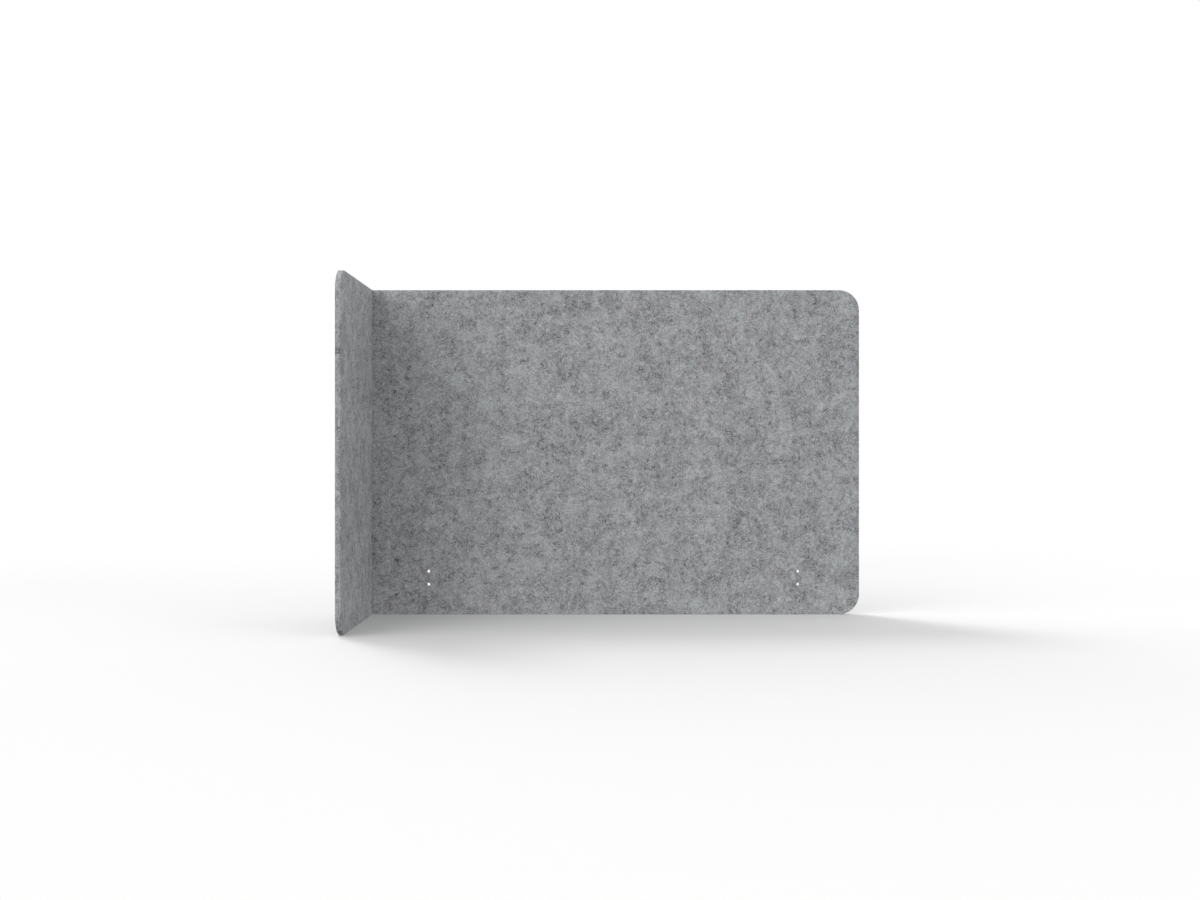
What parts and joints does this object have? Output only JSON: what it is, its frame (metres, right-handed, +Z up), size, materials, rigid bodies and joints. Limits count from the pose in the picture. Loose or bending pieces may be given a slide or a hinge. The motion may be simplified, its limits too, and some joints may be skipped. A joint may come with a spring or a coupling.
{
  "type": "acoustic divider screen",
  "caption": "L-shaped acoustic desk screen of pressed grey felt board: a long side and a short return that folds about a V-groove, with through holes for desk brackets.",
  "frame": {"origin": "middle of the floor space that the folded screen takes, at the height of its base", "axes": "+X along the long side to its free end, +Y away from the user, out of the back of the long side, +Z up"},
  "size_m": [1.212, 0.412, 0.8],
  "materials": {
    "felt": "matte marl of light and dark grey fibres, needled and pressed"
  },
  "bodies": {
    "long_side": {"long_panel": "felt", "fold_skin": "felt"},
    "return_side": {"return_panel": "felt"}
  },
  "joints": [
    {"name": "fold", "type": "hinge", "parent": "long_side", "child": "return_side", "pos_m": [-0.6045, 0.2045, 0], "axis": [0, 0, -1], "range_deg": [0, 90], "deforming": ["fold_skin"]}
  ]
}
